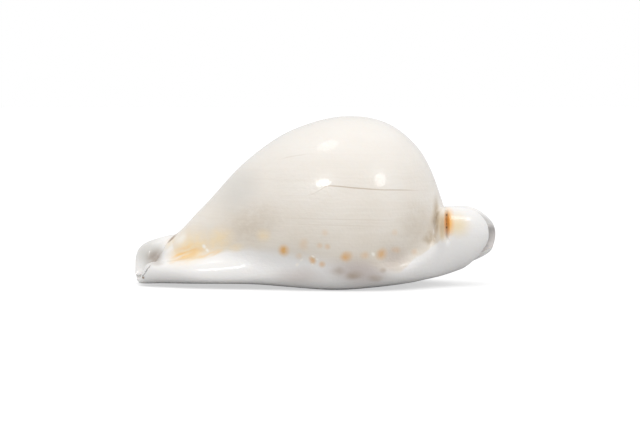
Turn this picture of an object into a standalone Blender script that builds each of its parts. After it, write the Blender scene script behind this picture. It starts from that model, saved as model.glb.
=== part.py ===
"""A large humped cowrie shell with a drawn-out beak at each end, lying on its base.

The shell grew as one piece, so it is one solid. Its wall is a sheet that starts at the toothed
edge of one lip, goes round the back of the shell and ends at the other lip. Sections across the
length are ovals blended together, and rays from a line inside the shell find their outline.

+X is the end with the sunken spire, -X the narrow end, -Y the side of the inner lip.
"""

import math

import bmesh
import bpy
import numpy as np

MM = 0.001  # every size below is in millimetres, for a shell 90 mm long
SIZE = 1.0  # times 90 mm
ROWS_ALONG = 190
COLUMNS_AROUND = 64
LIP_COLUMNS = 7  # of those, from the edge of the slit to the base on each lip
KEPT_SHARE = 0.19  # of the triangles, once the smooth back is thinned
FLAT_SPOT = 0.5  # worn off the lowest part of the base

TOOTH_HEIGHT = 0.5
TOOTH_SPACING = {-1: 3.3, 1: 2.8}  # on the inner lip and on the outer lip
SPIRE_X = 32.5  # where the spire is sunk, on the inner side
SPIRE_DEPTH = 2.3
NARROW_CAP = -38.5  # where the wall starts to close towards its rim at each end
SPIRE_CAP = 36.0
CORNER_ROUNDING = (0.8, 1.6)  # where the slit runs out through the narrow and the broad end
RIM_LEAN = (0.2, 0.3)  # at the two ends, from 0, on the inner face of the wall, to 1, on the outer

# Sizes along the length, as (distance from mid-length, size)
PROFILES = {
    "crest": [
        (-42, 4.6), (-40, 6.2), (-38.4, 8.8), (-37, 11.4), (-34, 14.2), (-30.7, 17.6), (-26.2, 22.3),
        (-20.2, 29), (-14.2, 34.3), (-8.2, 38.4), (-2.2, 41), (4, 42.7), (9.8, 43.1), (15, 42.4),
        (20.2, 40.2), (24.7, 36.4), (27.7, 32.3), (29.6, 28.2), (31.1, 24), (32.3, 20.4), (34, 17),
        (36, 13.8)],
    "half width": [
        (-40, 2.6), (-34, 5.4), (-28, 9.4), (-20, 15), (-12, 20.3), (-4, 24.6), (4, 26.8), (10, 27),
        (16, 25.4), (21, 22.4), (25, 18.6), (28, 14.6), (30.5, 10.6), (33, 6.2), (36, 2.5)],
    "widest at": [
        (-42, 3.6), (-38, 5.6), (-34, 7.4), (-30, 8.6), (-20, 11.5), (-10, 14), (0, 15.5),
        (10, 16.3), (20, 16.8), (28, 17), (36, 13)],
    "base": [
        (-46, 1.5), (-42, 1.8), (-36, 2), (-28, 2), (-14, 2), (-7, 1.6), (-1, 1.25), (4, 1.05), (8, 1.15),
        (14, 1.7), (20, 2.3), (26, 2.9), (30, 3.5), (34, 4.5), (38, 5.8), (42, 7.1), (46, 8.3)],
    "base thickness": [
        (-46, 3.9), (-40, 4.3), (-34, 5.8), (-26, 8), (24, 8), (29, 10.5), (32, 12.6), (36, 12.4),
        (40, 11.6), (46, 9.6)],
    # The roll of callus along each margin: how far out it is, its top and its half width, and
    # at what share of its height the inner one is widest
    "inner roll out": [
        (-46, -5.2), (-40, -7.4), (-34, -10.5), (-29, -12.4), (-24, -13.4), (-18, -14.5),
        (-12, -15.7), (-5, -17.9), (6, -20), (16, -18.8), (22, -16.2), (27, -12.8), (30, -10.4),
        (34, -7.6), (38, -6.2), (46, -5.4)],
    "inner roll top": [
        (-46, 7), (-40, 7.2), (-30, 7.6), (-20, 8.7), (-5, 10.6), (6, 10.4), (14, 8.6), (19, 7.4),
        (23, 8.2), (26, 10), (28.2, 12.4), (29.3, 15.4), (30, 18.5), (30.7, 20.1), (32, 20.8),
        (38, 20.7), (41, 20.2), (44, 18.8), (46, 17.8)],
    "inner roll middle": [(-46, 0.5), (-35, 0.5), (-28, 0.3), (-12, 0.3), (2, 0.5), (46, 0.5)],
    "inner roll half width": [
        (-46, 2.6), (-40, 3.2), (-30, 3.6), (-15, 4), (0, 4.3), (14, 4.7), (25, 4.8), (31, 4.2),
        (35, 4.4), (38, 4.5), (46, 4)],
    "outer roll out": [
        (-46, 5), (-40, 6.2), (-34, 8.2), (-26, 11.4), (-16, 15.6), (-6, 18.8), (6, 20.4), (16, 19.2),
        (24, 15.4), (30, 11), (34, 7.8), (38, 5.4), (46, 3.8)],
    "outer roll top": [
        (-46, 10.2), (-42, 11.5), (-39, 12.4), (-35, 13.1), (-28, 11.6), (-18, 10.2), (-5, 10.8),
        (8, 10.9), (18, 11.5), (25, 12.2), (28, 13.4), (29.4, 15.6), (30.6, 18.2), (31.8, 19.7),
        (34, 20.2), (38, 20.5), (41, 20.2), (44, 19.2), (46, 18.4)],
    "outer roll half width": [
        (-46, 3.6), (-40, 4.4), (-34, 4.4), (-26, 4.2), (-15, 4.2), (0, 4.5), (14, 4.8), (25, 4.8),
        (31, 4.2), (35, 4.2), (38, 4.3), (46, 4)],
    # How far the crease between the callus and the back is rounded
    "blend": [
        (-46, 2.6), (-30, 2.6), (-14, 3.2), (4, 6.5), (12, 8.5), (18, 9), (22, 8.5), (26, 6.8),
        (29.5, 3.4), (33, 2), (46, 2)],
    # The slit in the base, from beak to beak, how far the base rises to it, and the lips beside it
    "slit": [
        (-46, 0.3), (-30, 1.5), (-12, 3.6), (4, 4.6), (16, 4), (26, 1.6), (33, -0.6), (38, -1.4),
        (46, -1.6)],
    "slit width": [
        (-46, 0.9), (-42, 1.3), (-38, 2.6), (-33, 4.4), (-20, 6), (-4, 5.8), (12, 4.9), (28, 3.6),
        (34, 2.4), (40, 1.7), (46, 1.4)],
    "lip sink": [(-46, 0.1), (-41, 0.2), (-35, 0.8), (-28, 0.9), (28, 0.9), (36, 0.7), (46, 0.4)],
    "lip rounding": [(-46, 0.6), (-41, 0.9), (-35, 2.1), (-28, 2.3), (28, 2.3), (36, 1.6), (46, 0.9)],
    "lip height": [
        (-46, 0.6), (-42, 0.9), (-38, 1.7), (-34, 2.6), (-28, 3.6), (-16, 4.6), (0, 5.2), (18, 5), (28, 4),
        (34, 3), (46, 2.6)],
    # The hollow inside, which narrows to a canal at each beak
    "hollow out": [
        (-46, 0.3), (-30, 1.2), (-18, 0.6), (0, 0), (12, 0), (22, 0.4), (28, 0.4), (33, -0.6),
        (38, -1.4), (46, -1.6)],
    "hollow half width": [
        (-46, 0.9), (-42, 1.1), (-38, 2), (-33, 3.8), (-28, 6.8), (-20, 12.4), (-12, 17.6), (-4, 21.9),
        (4, 24.1), (10, 24.3), (16, 22.5), (21, 18.6), (25, 13), (28, 7.6), (31, 3.6), (34, 2.3),
        (40, 1.6), (46, 1.3)],
    "hollow top": [
        (-46, 2.9), (-42, 3.5), (-38, 5.4), (-34, 9), (-28, 17), (-20, 26), (-12, 33.4), (-4, 38.2),
        (4, 40.6), (10, 41), (16, 39.8), (21, 36.4), (25, 30), (28, 22), (31, 15.6), (34, 14.2),
        (38, 14.6), (46, 15)],
    # The line that the rays start from
    "ray out": [
        (-46, 3.6), (-40, 3.4), (-34, 2.6), (-28, 1.8), (-12, 3), (4, 3.6), (16, 3), (26, 1.2),
        (33, -0.4), (38, -1), (46, -1.2)],
    "ray height": [
        (-46, 3.9), (-40, 4.2), (-35, 5.4), (-30, 7), (-20, 9.5), (-5, 12), (10, 13), (24, 13),
        (30, 13.2), (36, 13.8), (46, 14)],
}


def smooth_curve(knots, x):
    """The value at x of a natural cubic spline through the knots."""
    at, value = np.array(knots, float).T
    step, slope = np.diff(at), np.diff(value) / np.diff(at)
    system, right = np.eye(len(at)), np.zeros(len(at))
    for i in range(1, len(at) - 1):
        system[i, i - 1 : i + 2] = step[i - 1], 2 * (step[i - 1] + step[i]), step[i]
        right[i] = 6 * (slope[i] - slope[i - 1])
    bend = np.linalg.solve(system, right)
    x = np.clip(x, at[0], at[-1])
    i = np.clip(np.searchsorted(at, x) - 1, 0, len(at) - 2)
    before, after = x - at[i], at[i + 1] - x
    left = bend[i] * after**3 / (6 * step[i]) + (value[i] / step[i] - bend[i] * step[i] / 6) * after
    right = bend[i + 1] * before**3 / (6 * step[i])
    return left + right + (value[i + 1] / step[i] - bend[i + 1] * step[i] / 6) * before


def smooth_step(value, low, high):
    share = np.clip((value - low) / (high - low), 0, 1)
    return share * share * (3 - 2 * share)


def profiles_at(x):
    """Every profile at each x, as columns to set against the points of a section."""
    here = {name: smooth_curve(knots, x)[:, None] for name, knots in PROFILES.items()}
    here["x"] = x[:, None]
    return here


def oval(y, z, half_width, half_height, squareness):
    """Negative inside an oval about the origin: how far (y, z) is outside, along its own ray."""
    across, up = np.abs(y / half_width) ** squareness, np.abs(z / half_height) ** squareness
    return np.hypot(y, z) * (1 - 1 / ((across + up) ** (1 / squareness) + 1e-9))


def blend(first, second, radius):
    """The union of two shapes, with the crease between them rounded."""
    overlap = np.maximum(radius - np.abs(first - second), 0) / radius
    return np.minimum(first, second) - overlap * overlap * radius / 4


def spire_shape(x, y, z):
    """The sunken spire: a crevice by the inner lobe, a ledge before it, and a shallow groove."""
    place = ((y + 12) / 3.6) ** 4
    crevice = np.exp(-(((x - SPIRE_X) / 0.45) ** 2) - place - ((z - 16.3) / 3.3) ** 4)
    ledge = np.exp(-(((x - SPIRE_X + 1.5) / 0.8) ** 2) - place - ((z - 15.6) / 4) ** 4)
    groove = np.exp(-(((x - SPIRE_X + 3.1) / 0.6) ** 2) - place - ((z - 15.5) / 5) ** 4)
    return SPIRE_DEPTH * crevice - 0.5 * ledge + 0.5 * groove


def tooth(x, lip):
    """The height of a lip's teeth at x: round ridges, a little uneven, fading out at both canals."""
    turn = x / TOOTH_SPACING[lip] + 0.2 * np.sin(x / 7 + lip)
    ridge = (0.5 + 0.5 * np.cos(2 * math.pi * turn)) ** 1.3
    return TOOTH_HEIGHT * ridge * smooth_step(x, -41, -34) * (1 - smooth_step(x, 31, 38))


def lip_shape(here, y, z):
    """The base draws in towards the slit, and the teeth run out over it."""
    out = y - here["slit"]
    low = 1 - smooth_step(z - here["base"], 2, 4)
    beside = np.exp(-(((np.abs(out) - here["slit width"] / 2 - 1) / 2.6) ** 2))
    teeth = np.where(out < 0, tooth(here["x"], -1), tooth(here["x"], 1))
    return (here["lip sink"] * np.exp(-((out / 5) ** 2)) - teeth * beside) * low


def outside(here, y, z):
    """Negative inside the shell's outer surface, positive outside it."""
    widest, base = here["widest at"], here["base"]
    half_height = np.where(z > widest, here["crest"] - widest, widest - base - 3)
    body = oval(
        y, z - widest, here["half width"], np.maximum(half_height, 0.4), np.where(z > widest, 2.12, 2.6))
    inner_height = here["inner roll top"] - base - 0.2
    up = z - base - 0.2 - here["inner roll middle"] * inner_height
    half_height = np.where(up > 0, 1 - here["inner roll middle"], here["inner roll middle"]) * inner_height
    inner_roll = oval(y - here["inner roll out"], up, here["inner roll half width"], half_height, 2.1)
    half_height = (here["outer roll top"] - base - 0.2) / 2
    outer_roll = oval(
        y - here["outer roll out"], z - base - 0.2 - half_height, here["outer roll half width"],
        half_height, 2.1)
    middle = (here["inner roll out"] + here["outer roll out"]) / 2 + 0.35 * here["slit"]
    half_width = (here["outer roll out"] - here["inner roll out"]) / 2 + 1
    half_height = here["base thickness"] / 2
    slab = oval(y - middle, z - base - half_height, half_width, half_height, 3.4)
    callus = blend(blend(inner_roll, outer_roll, 3), slab, 2.6)
    return blend(callus, body, here["blend"]) + spire_shape(here["x"], y, z) + lip_shape(here, y, z)


def cast(here, turn):
    """Where rays from inside leave the shell. Turn 0 is straight down and a quarter turn is -Y."""
    side, up = -np.sin(turn), -np.cos(turn)
    near, far = np.zeros_like(turn), np.full_like(turn, 60.0)
    for _ in range(26):
        half = (near + far) / 2
        inside = outside(here, here["ray out"] + half * side, here["ray height"] + half * up) < 0
        near, far = np.where(inside, half, near), np.where(inside, far, half)
    return here["ray out"] + near * side, here["ray height"] + near * up


def even_turns(trace, first, last, count):
    """For each row, the turns that cut the traced curve into equal lengths."""
    turn = first + (last - first) * np.linspace(0, 1, 241)
    y, z = trace(turn)
    travel = np.cumsum(np.hypot(np.diff(y, prepend=y[:, :1]), np.diff(z, prepend=z[:, :1])), axis=1)
    return np.array([
        np.interp(np.linspace(0, row[-1], count), row, turns) for row, turns in zip(travel, turn)])


def sections(x, columns):
    """The wall's outer and inner (y, z) at every x, from the inner lip round to the outer lip."""
    here = profiles_at(x)
    slit, gap, base = here["slit"], here["slit width"] / 2, here["base"]
    round_columns = columns - 2 * LIP_COLUMNS
    reach, drop = gap + here["lip rounding"], here["ray height"] - base
    first = np.arctan2(here["ray out"] - slit + reach, drop)
    last = 2 * math.pi - np.arctan2(slit + reach - here["ray out"], drop)
    outer = cast(here, even_turns(lambda turn: cast(here, turn), first, last, round_columns))

    # The hollow has its own oval, and starts where the rounded inner edge of each lip ends
    floor = base + here["lip height"]
    widest = floor + (here["hollow top"] - floor) * 0.42
    roll = np.clip(here["hollow half width"] - gap - 0.3, 0.2, here["lip rounding"])

    def hollow(turn):
        side, up = -np.sin(turn), -np.cos(turn)
        half_height = np.where(up > 0, here["hollow top"] - widest, widest - floor)
        across, along = np.abs(side / here["hollow half width"]), np.abs(up / half_height)
        reach = (across**2.1 + along**2.1) ** (-1 / 2.1)
        return here["hollow out"] + reach * side, widest + reach * up

    def turn_at(offset):
        """The turn at which the lower half of the hollow is this far to the side."""
        turn = np.linspace(0, math.pi / 2, 181) * np.ones_like(offset)
        out = here["hollow out"] - hollow(turn)[0]
        return np.array([np.interp(far, row, turn[0]) for far, row in zip(offset[:, 0], out)])[:, None]

    first = turn_at(here["hollow out"] - slit + gap + roll)
    last = 2 * math.pi - turn_at(slit - here["hollow out"] + gap + roll)
    inner = hollow(even_turns(hollow, first, last, round_columns))

    # Each lip has a quarter round from the slit's edge down to the base, and one up to the hollow
    turn = np.linspace(0, math.pi / 2, LIP_COLUMNS + 1)[:-1]
    faces = []
    for face in (outer, inner):
        lips = []
        for side, column in ((-1, 0), (1, -1)):
            edge = slit + side * (gap - tooth(here["x"], side))
            low, high = outer[1][:, column, None], inner[1][:, column, None]
            waist = low + np.minimum(here["lip rounding"], (high - low) / 2)
            end_y, end_z = [axis[:, column, None] for axis in face]
            lips.append([end_y + (edge - end_y) * np.cos(turn), waist + (end_z - waist) * np.sin(turn)])
        faces.append(np.stack([
            np.concatenate([lips[0][k], face[k], lips[1][k][:, ::-1]], axis=1) for k in (0, 1)], axis=2))
    return faces


def spire_rim(y, z):
    """How far +X the middle of the wall reaches: two round lobes with a notch between."""
    rise, squareness = (z - 13.6) / np.where(z > 13.6, 6.8, 4.9), np.where(z > 13.6, 2.6, 2)
    inner_lobe = 36.5 + 6.7 * np.maximum(1 - np.abs(rise) ** squareness, 0.05) ** (1 / squareness)
    rise = (z - 13.6) * np.where(z > 13.6, 0.95, 0.98)
    outer_lobe = 38.8 + np.sqrt(np.maximum(6.5**2 - rise**2, 2))
    notch = np.exp(-(((y + 1.4) / 1.5) ** 2)) * smooth_step(z, 12, 16)
    return inner_lobe + (outer_lobe - inner_lobe) * smooth_step(y, -2.6, 0.6) - 5 * notch


def narrow_rim(y, z):
    """How far -X the middle of the wall reaches: a short flange, the roof, and a longer flange."""
    turn = np.degrees(np.arctan2(y - 0.3, z - 3.2))
    short = -44 + 1.1 * np.maximum(z - 2.5, 0)
    long = -45.2 + 0.3 * np.maximum(z - 8.5, 0) + 0.2 * np.maximum(5 - z, 0)
    roof = short + (-40.2 - short) * smooth_step(turn, -70, -30)
    return roof + (long - roof) * smooth_step(turn, 12, 50)


def wall(rows, columns):
    """Two grids of points, the outer and inner faces of the wall, which meet all along its rim."""
    table_x = np.linspace(-45.8, 45.8, 420)
    faces = sections(table_x, columns)
    lean = np.interp(table_x, (-30, 30), RIM_LEAN)[:, None, None]
    middle = faces[0] * lean + faces[1] * (1 - lean)

    def sample(face, x):
        """The face's (y, z), with one x for each column."""
        return np.array([[np.interp(x[j], table_x, face[:, j, k]) for k in (0, 1)] for j in range(columns)])

    # Rows are closer together where the crest is steep, and closest at the spire
    inside = table_x[(table_x >= NARROW_CAP) & (table_x <= SPIRE_CAP)]
    travel = np.hypot(np.diff(inside), 0.5 * np.diff(smooth_curve(PROFILES["crest"], inside)))
    travel = np.cumsum(np.append(0, travel * (1 + 2 * np.exp(-(((inside[1:] - SPIRE_X) / 2) ** 2)))))
    cap_rows = rows // 7
    tube = np.interp(np.linspace(0, travel[-1], rows - 2 * cap_rows + 1), travel, inside)[1:-1]

    rims = []
    for rim, x, rounding in zip((narrow_rim, spire_rim), (-42.0, 40.0), CORNER_ROUNDING):
        x = np.full(columns, x)
        for _ in range(8):
            point = sample(middle, x)
            x = rim(*point.T)
        step = np.hypot(*np.diff(point, axis=0).T)
        from_slit = np.minimum(np.append(0, np.cumsum(step)), np.append(np.cumsum(step[::-1])[::-1], 0))
        short = np.clip(1 - from_slit / rounding, 0, 1)
        rims.append(x - np.sign(x) * rounding * (1 - np.sqrt(1 - short**2)))

    def cap(face, start, rim, squareness):
        """Rows in which the face closes in on the middle of the wall, up to the rim."""
        lines = []
        for share in np.sin(np.linspace(0, math.pi / 2, cap_rows + 1)):
            x = start + (rim - start) * share
            closing = 1 - (1 - share**squareness) ** (1 / squareness)
            point = sample(face, x) * (1 - closing) + sample(middle, x) * closing
            lines.append(np.column_stack([x, point]))
        return lines

    grids = []
    for face in faces:
        lines = cap(face, NARROW_CAP, rims[0], 4.5)[::-1]
        for x in tube:
            x = np.full(columns, x)
            lines.append(np.column_stack([x, sample(face, x)]))
        grids.append(np.array(lines + cap(face, SPIRE_CAP, rims[1], 2.2)))
    return grids


def shell_mesh(rows, columns):
    """One closed mesh: a grid wrapped over the outer face of the wall and back over the inner."""
    outer, inner = wall(rows, columns)
    loop = np.concatenate([outer, inner[:, -2:0:-1], outer[:, :1]], axis=1) * MM * SIZE
    along, around = loop.shape[0] - 1, loop.shape[1] - 1
    shell = bmesh.new()
    bmesh.ops.create_grid(shell, x_segments=around, y_segments=along, size=1)
    for vertex in shell.verts:
        column, row = round((vertex.co.x + 1) / 2 * around), round((vertex.co.y + 1) / 2 * along)
        vertex.co = loop[row, column]
    bmesh.ops.remove_doubles(shell, verts=shell.verts, dist=0.01 * MM)
    bmesh.ops.recalc_face_normals(shell, faces=shell.faces)

    # The lowest part is cut flat, and the origin is under the middle of the shell
    low = np.array([min(vertex.co[k] for vertex in shell.verts) for k in range(3)])
    high = np.array([max(vertex.co[k] for vertex in shell.verts) for k in range(3)])
    ground = low[2] + FLAT_SPOT * MM * SIZE
    for vertex in shell.verts:
        vertex.co.x -= (low[0] + high[0]) / 2
        vertex.co.y -= (low[1] + high[1]) / 2
        vertex.co.z = max(vertex.co.z - ground, 0)
    return shell


def make_shell():
    for old in list(bpy.data.objects):
        bpy.data.objects.remove(old)
    collection = bpy.data.collections.new("cowrie shell")
    bpy.context.scene.collection.children.link(collection)
    shell = shell_mesh(ROWS_ALONG, COLUMNS_AROUND)
    mesh = bpy.data.meshes.new("cowrie_shell")
    shell.to_mesh(mesh)
    shell.free()
    thing = bpy.data.objects.new("cowrie_shell", mesh)
    collection.objects.link(thing)

    thing.modifiers.new("fewer triangles", "DECIMATE").ratio = KEPT_SHARE
    bpy.context.view_layer.update()
    thinned = thing.evaluated_get(bpy.context.evaluated_depsgraph_get())
    thing.data = bpy.data.meshes.new_from_object(thinned)
    thing.modifiers.clear()
    for vertex in thing.data.vertices:
        if vertex.co.z < 0.02 * MM:
            vertex.co.z = 0
    thing.data.shade_smooth()
    porcelain = bpy.data.materials.new("shell")
    porcelain.use_nodes = True
    surface = porcelain.node_tree.nodes["Principled BSDF"]
    surface.inputs["Base Color"].default_value = (0.75, 0.69, 0.6, 1)
    surface.inputs["Roughness"].default_value = 0.2
    thing.data.materials.append(porcelain)


make_shell()
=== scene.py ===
"""A large humped cowrie shell with a drawn-out beak at each end, lying on its base.

The shell grew as one piece: a wall of glossy shell that starts at the toothed edge of the inner
lip, goes round over the back and ends at the outer lip. All of it is one mesh, finer than the
solid it stands for. +X is the end with the sunken spire, -X the narrow end, -Y the side of the
inner lip, which the photograph shows.
"""

import math

import bmesh
import bpy
import numpy as np
from mathutils import Matrix, Vector
from mathutils.bvhtree import BVHTree


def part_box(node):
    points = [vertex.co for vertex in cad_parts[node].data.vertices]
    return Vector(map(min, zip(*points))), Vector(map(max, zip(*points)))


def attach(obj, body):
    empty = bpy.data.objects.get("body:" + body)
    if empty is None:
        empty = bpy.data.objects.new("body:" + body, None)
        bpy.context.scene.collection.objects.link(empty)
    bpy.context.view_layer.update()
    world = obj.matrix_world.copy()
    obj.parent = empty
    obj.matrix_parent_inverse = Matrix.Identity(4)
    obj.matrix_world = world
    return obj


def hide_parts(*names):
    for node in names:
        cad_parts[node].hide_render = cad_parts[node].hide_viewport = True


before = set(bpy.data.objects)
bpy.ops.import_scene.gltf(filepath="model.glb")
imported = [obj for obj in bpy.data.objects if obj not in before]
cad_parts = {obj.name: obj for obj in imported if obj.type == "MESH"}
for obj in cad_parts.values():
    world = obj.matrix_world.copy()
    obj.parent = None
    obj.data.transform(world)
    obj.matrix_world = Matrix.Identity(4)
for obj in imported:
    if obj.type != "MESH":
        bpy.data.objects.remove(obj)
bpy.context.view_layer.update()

MM = 0.001  # lengths below are in millimetres

# Camera
# It looks square at the long side with the inner lip, from a little above level, and stands far
# enough away for the two ends to be seen in nearly the same scale.
PHOTO_WIDTH = 640  # pixels
MM_PER_PIXEL = 0.25  # at the middle of the shell
SENSOR = 36.0
DISTANCE = 700.0
ELEVATION = math.radians(3)
LOOKS_AT = Vector((1.2, 0, 17.7)) * MM

camera = bpy.data.objects.new("camera", bpy.data.cameras.new("camera"))
camera.data.sensor_width = SENSOR
camera.data.lens = SENSOR * DISTANCE / (PHOTO_WIDTH * MM_PER_PIXEL)
camera.data.clip_start = 10 * MM
camera.location = LOOKS_AT + Vector((0, -math.cos(ELEVATION), math.sin(ELEVATION))) * DISTANCE * MM
camera.rotation_euler = (math.radians(90) - ELEVATION, 0, 0)
bpy.context.scene.collection.objects.link(camera)
bpy.context.scene.camera = camera


# The back
# The last whorl of the shell, swollen into a high hump. Its sections across the length are ovals
# that are widest below the middle. All sizes along the length are (place along X, size).
BACK_SQUARENESS = (2.12, 2.6)  # of an oval's upper and lower half, where 2 is an ellipse
BACK_LIFT = 3  # from the base up to the underside of the ovals, which the callus hides
LEAST_HALF_HEIGHT = 0.4
back_sizes = {
    "crest": [
        (-42, 4.6), (-40, 6.2), (-38.4, 8.8), (-37, 11.4), (-34, 14.2), (-30.7, 17.6),
        (-26.2, 22.3), (-20.2, 29), (-14.2, 34.3), (-8.2, 38.4), (-2.2, 41), (4, 42.7), (9.8, 43.1),
        (15, 42.4), (20.2, 40.2), (24.7, 36.4), (27.7, 32.3), (29.6, 28.2), (31.1, 24),
        (32.3, 20.4), (34, 17), (36, 13.8)],
    "half width": [
        (-40, 2.6), (-34, 5.4), (-28, 9.4), (-20, 15), (-12, 20.3), (-4, 24.6), (4, 26.8), (10, 27),
        (16, 25.4), (21, 22.4), (25, 18.6), (28, 14.6), (30.5, 10.6), (33, 6.2), (36, 2.5)],
    "widest at": [
        (-42, 3.6), (-38, 5.6), (-34, 7.4), (-30, 8.6), (-20, 11.5), (-10, 14), (0, 15.5),
        (10, 16.3), (20, 16.8), (28, 17), (36, 13)],
    "base": [
        (-46, 1.5), (-42, 1.8), (-36, 2), (-28, 2), (-14, 2), (-7, 1.6), (-1, 1.25), (4, 1.05),
        (8, 1.15), (14, 1.7), (20, 2.3), (26, 2.9), (30, 3.5), (34, 4.5), (38, 5.8), (42, 7.1),
        (46, 8.3)],
}


def smooth_curve(knots, x):
    """The value at x of a natural cubic spline through the knots."""
    at, value = np.array(knots, float).T
    step, slope = np.diff(at), np.diff(value) / np.diff(at)
    system, right = np.eye(len(at)), np.zeros(len(at))
    for i in range(1, len(at) - 1):
        system[i, i - 1 : i + 2] = step[i - 1], 2 * (step[i - 1] + step[i]), step[i]
        right[i] = 6 * (slope[i] - slope[i - 1])
    bend = np.linalg.solve(system, right)
    x = np.clip(x, at[0], at[-1])
    i = np.clip(np.searchsorted(at, x) - 1, 0, len(at) - 2)
    before, after = x - at[i], at[i + 1] - x
    left = bend[i] * after**3 / (6 * step[i]) + (value[i] / step[i] - bend[i] * step[i] / 6) * after
    right = bend[i + 1] * before**3 / (6 * step[i])
    return left + right + (value[i + 1] / step[i] - bend[i + 1] * step[i] / 6) * before


def oval(y, z, half_width, half_height, squareness):
    """Negative inside an oval about the origin: how far (y, z) is outside, along its own ray."""
    across, up = np.abs(y / half_width) ** squareness, np.abs(z / half_height) ** squareness
    size = (across + up) ** (1 / squareness) + 1e-9  # never quite 0, not even in the middle
    return np.hypot(y, z) * (1 - 1 / size)


def back(here, y, z):
    """Negative inside the last whorl. Here holds every size at the section's place along X."""
    widest = here["widest at"]
    half_height = np.where(z > widest, here["crest"] - widest, widest - here["base"] - BACK_LIFT)
    half_height = np.maximum(half_height, LEAST_HALF_HEIGHT)
    squareness = np.where(z > widest, *BACK_SQUARENESS)
    return oval(y, z - widest, here["half width"], half_height, squareness)


# The callus
# Later layers of white shell cover the base and swell into a thick roll along each margin. The
# rolls run out past the back as two flanges at the narrow end and two lobes at the spire end.
ROLL_SQUARENESS = 2.1
ROLL_LIFT = 0.2  # from the base up to the underside of the rolls
SLAB_SQUARENESS = 3.4
SLAB_LEAN = 0.35  # how much of the slit's own bend the slab between the rolls follows
SLAB_OVERLAP = 1  # how far the slab reaches past the middle of each roll
ROLLS_BLEND = 3  # how widely the rolls run into one another, and below, into the slab
SLAB_BLEND = 2.6
callus_sizes = {
    "base thickness": [
        (-46, 3.9), (-40, 4.3), (-34, 5.8), (-26, 8), (24, 8), (29, 10.5), (32, 12.6), (36, 12.4),
        (40, 11.6), (46, 9.6)],
    "inner roll out": [
        (-46, -5.2), (-40, -7.4), (-34, -10.5), (-29, -12.4), (-24, -13.4), (-18, -14.5),
        (-12, -15.7), (-5, -17.9), (6, -20), (16, -18.8), (22, -16.2), (27, -12.8), (30, -10.4),
        (34, -7.6), (38, -6.2), (46, -5.4)],
    "inner roll top": [
        (-46, 7), (-40, 7.2), (-30, 7.6), (-20, 8.7), (-5, 10.6), (6, 10.4), (14, 8.6), (19, 7.4),
        (23, 8.2), (26, 10), (28.2, 12.4), (29.3, 15.4), (30, 18.5), (30.7, 20.1), (32, 20.8),
        (38, 20.7), (41, 20.2), (44, 18.8), (46, 17.8)],
    "inner roll middle": [(-46, 0.5), (-35, 0.5), (-28, 0.3), (-12, 0.3), (2, 0.5), (46, 0.5)],
    "inner roll half width": [
        (-46, 2.6), (-40, 3.2), (-30, 3.6), (-15, 4), (0, 4.3), (14, 4.7), (25, 4.8), (31, 4.2),
        (35, 4.4), (38, 4.5), (46, 4)],
    "outer roll out": [
        (-46, 5), (-40, 6.2), (-34, 8.2), (-26, 11.4), (-16, 15.6), (-6, 18.8), (6, 20.4),
        (16, 19.2), (24, 15.4), (30, 11), (34, 7.8), (38, 5.4), (46, 3.8)],
    "outer roll top": [
        (-46, 10.2), (-42, 11.5), (-39, 12.4), (-35, 13.1), (-28, 11.6), (-18, 10.2), (-5, 10.8),
        (8, 10.9), (18, 11.5), (25, 12.2), (28, 13.4), (29.4, 15.6), (30.6, 18.2), (31.8, 19.7),
        (34, 20.2), (38, 20.5), (41, 20.2), (44, 19.2), (46, 18.4)],
    "outer roll half width": [
        (-46, 3.6), (-40, 4.4), (-34, 4.4), (-26, 4.2), (-15, 4.2), (0, 4.5), (14, 4.8), (25, 4.8),
        (31, 4.2), (35, 4.2), (38, 4.3), (46, 4)],
    "blend": [
        (-46, 2.6), (-30, 2.6), (-14, 3.2), (4, 6.5), (12, 8.5), (18, 9), (22, 8.5), (26, 6.8),
        (29.5, 3.4), (33, 2), (46, 2)],
}


def blend(first, second, radius):
    """The union of two shapes, with the crease between them rounded."""
    overlap = np.maximum(radius - np.abs(first - second), 0) / radius
    return np.minimum(first, second) - overlap * overlap * radius / 4


def callus(here, y, z):
    """Negative inside the two rolls and the slab of callus between them."""
    base = here["base"]
    # The inner roll is egg-shaped, with its middle at a share of its height, and the outer one even
    middle = here["inner roll middle"]
    height = here["inner roll top"] - base - ROLL_LIFT
    up = z - base - ROLL_LIFT - middle * height
    half_height = np.where(up > 0, 1 - middle, middle) * height
    inner_roll = oval(
        y - here["inner roll out"], up, here["inner roll half width"], half_height,
        ROLL_SQUARENESS)
    half_height = (here["outer roll top"] - base - ROLL_LIFT) / 2
    outer_roll = oval(
        y - here["outer roll out"], z - base - ROLL_LIFT - half_height,
        here["outer roll half width"], half_height, ROLL_SQUARENESS)
    middle = (here["inner roll out"] + here["outer roll out"]) / 2 + SLAB_LEAN * here["slit"]
    half_width = (here["outer roll out"] - here["inner roll out"]) / 2 + SLAB_OVERLAP
    half_height = here["base thickness"] / 2
    slab = oval(y - middle, z - base - half_height, half_width, half_height, SLAB_SQUARENESS)
    return blend(blend(inner_roll, outer_roll, ROLLS_BLEND), slab, SLAB_BLEND)


# The sunken spire
# The first turns of the coil are buried at the broad end, on the inner side. What shows of them
# is a narrow crevice beside the inner lobe, with a thin ledge of callus standing before it.
SPIRE_X = 32.5
SPIRE_Y = -12
SPIRE_HALF_WIDTH = 3.6
# Depth, place along X from the crevice, half length, height and half height
SPIRE_FOLDS = {
    "crevice": (2.3, 0, 0.45, 16.3, 3.3),
    "ledge": (-0.5, -1.5, 0.8, 15.6, 4),
    "groove between the ledge and the back": (0.5, -3.1, 0.6, 15.5, 5),
}


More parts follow.
